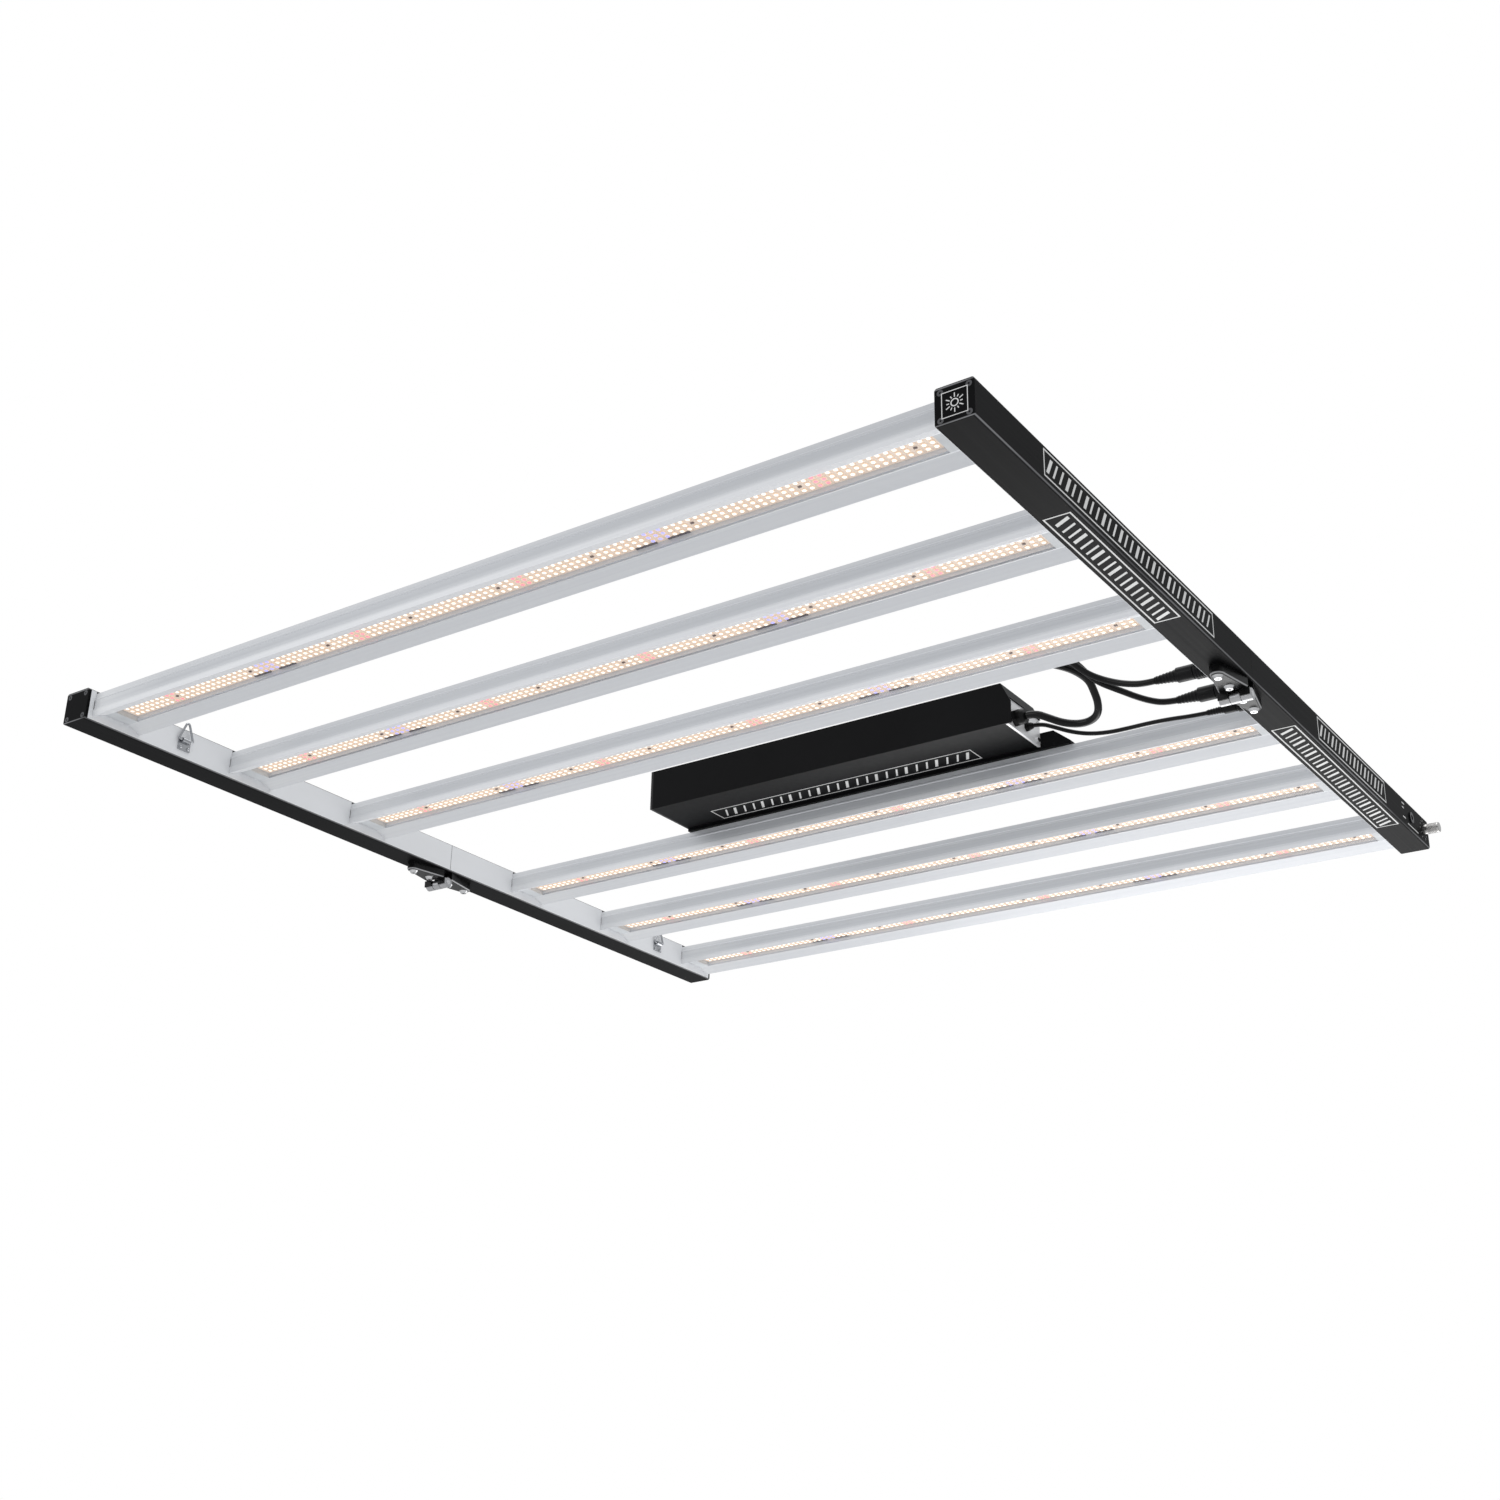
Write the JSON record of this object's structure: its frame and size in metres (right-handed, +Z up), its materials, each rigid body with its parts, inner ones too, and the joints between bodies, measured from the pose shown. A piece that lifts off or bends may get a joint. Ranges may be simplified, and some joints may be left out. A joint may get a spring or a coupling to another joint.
{
  "type": "folding LED grow light",
  "caption": "Folding LED bar grow light: white aluminium bars with rows of diodes between black rails, hinged at the middle, with a driver, cables and a dimmer knob.",
  "frame": {"origin": "bottom centre of the whole light: Y = 0 is the fold line and Z = 0 the underside of the hinge barrels", "axes": "+Z up when the light hangs over plants, so the diodes face -Z; X along the light bars, +X towards the rail with the dimmer; +Y towards the half that carries the driver"},
  "size_m": [1.095, 1.1, 0.1025],
  "materials": {
    "rail_black": "satin black anodised",
    "bar_aluminium": "satin silver anodised",
    "led_board": "white solder mask",
    "clear_lens": "clear, smooth",
    "plug_rubber": "matt grey",
    "cast_black": "black powder coat",
    "screw_steel": "bright zinc",
    "bright_wire": "polished",
    "driver_black": "satin black",
    "plate_silver": "brushed",
    "circuit_board": "green solder mask",
    "gland_black": "moulded",
    "knob_metal": "turned and knurled",
    "socket_metal": "nickel",
    "cable_black": "smooth jacket",
    "plug_black": "moulded"
  },
  "bodies": {
    "half_b": {"left_rail_b": "rail_black", "right_rail_b": "rail_black", "left_end_cap_b": "rail_black", "right_end_cap_b": "rail_black", "end_cap_screws_b": "screw_steel", "led_boards_b": "led_board", "lens_covers_b": "clear_lens", "lens_end_plugs_b": "plug_rubber", "bar_screws_b": "screw_steel", "left_hinge_leaf_b": "cast_black", "right_hinge_leaf_b": "cast_black", "hinge_screws_b": "screw_steel", "hanger_brackets_b": "bright_wire", "sockets_b": "socket_metal", "rail_harness_b": "cable_black", "bar_4": "bar_aluminium", "bar_5": "bar_aluminium", "bar_6": "bar_aluminium", "hinge_pins": "screw_steel", "driver_housing": "driver_black", "driver_end_plates": "plate_silver", "driver_board": "circuit_board", "driver_brackets": "driver_black", "driver_screws": "screw_steel", "driver_gland_large": "gland_black", "driver_gland_small": "gland_black", "driver_mains_inlet": "gland_black", "dc_plug_b": "plug_black", "dimmer_plug": "plug_black", "dc_trunk_cable": "cable_black", "cable_junction": "gland_black", "dc_cable_a": "cable_black", "dc_cable_b": "cable_black", "dimmer_cable": "cable_black", "dimmer_pot": "screw_steel", "dimmer_nut": "knob_metal"},
    "half_a": {"left_rail_a": "rail_black", "right_rail_a": "rail_black", "left_end_cap_a": "rail_black", "right_end_cap_a": "rail_black", "end_cap_screws_a": "screw_steel", "led_boards_a": "led_board", "lens_covers_a": "clear_lens", "lens_end_plugs_a": "plug_rubber", "bar_screws_a": "screw_steel", "left_hinge_leaf_a": "cast_black", "right_hinge_leaf_a": "cast_black", "hinge_screws_a": "screw_steel", "hanger_brackets_a": "bright_wire", "sockets_a": "socket_metal", "rail_harness_a": "cable_black", "bar_1": "bar_aluminium", "bar_2": "bar_aluminium", "bar_3": "bar_aluminium", "dc_plug_a": "plug_black"},
    "hanger_left_a": {"left_hanger_ring_a": "bright_wire"},
    "hanger_left_b": {"left_hanger_ring_b": "bright_wire"},
    "hanger_right_a": {"right_hanger_ring_a": "bright_wire"},
    "hanger_right_b": {"right_hanger_ring_b": "bright_wire"},
    "dimmer": {"dimmer_knob": "knob_metal"}
  },
  "joints": [
    {"name": "fold", "type": "hinge", "parent": "half_b", "child": "half_a", "pos_m": [0, 0, 0.006], "axis": [1, 0, 0], "range_deg": [0, 180], "deforming": ["dc_cable_a"]},
    {"name": "left_hanger_a_swing", "type": "hinge", "parent": "half_a", "child": "hanger_left_a", "pos_m": [-0.5091, -0.423, 0.0405], "axis": [0, 1, 0], "range_deg": [0, 170]},
    {"name": "left_hanger_b_swing", "type": "hinge", "parent": "half_b", "child": "hanger_left_b", "pos_m": [-0.5091, 0.423, 0.0405], "axis": [0, 1, 0], "range_deg": [0, 170]},
    {"name": "right_hanger_a_swing", "type": "hinge", "parent": "half_a", "child": "hanger_right_a", "pos_m": [0.4901, -0.423, 0.0405], "axis": [0, -1, 0], "range_deg": [0, 170]},
    {"name": "right_hanger_b_swing", "type": "hinge", "parent": "half_b", "child": "hanger_right_b", "pos_m": [0.4901, 0.423, 0.0405], "axis": [0, -1, 0], "range_deg": [0, 170]},
    {"name": "dimmer_turn", "type": "hinge", "parent": "half_b", "child": "dimmer", "pos_m": [0.5285, 0.531, 0.038], "axis": [1, 0, 0], "range_deg": [0, 300]}
  ]
}
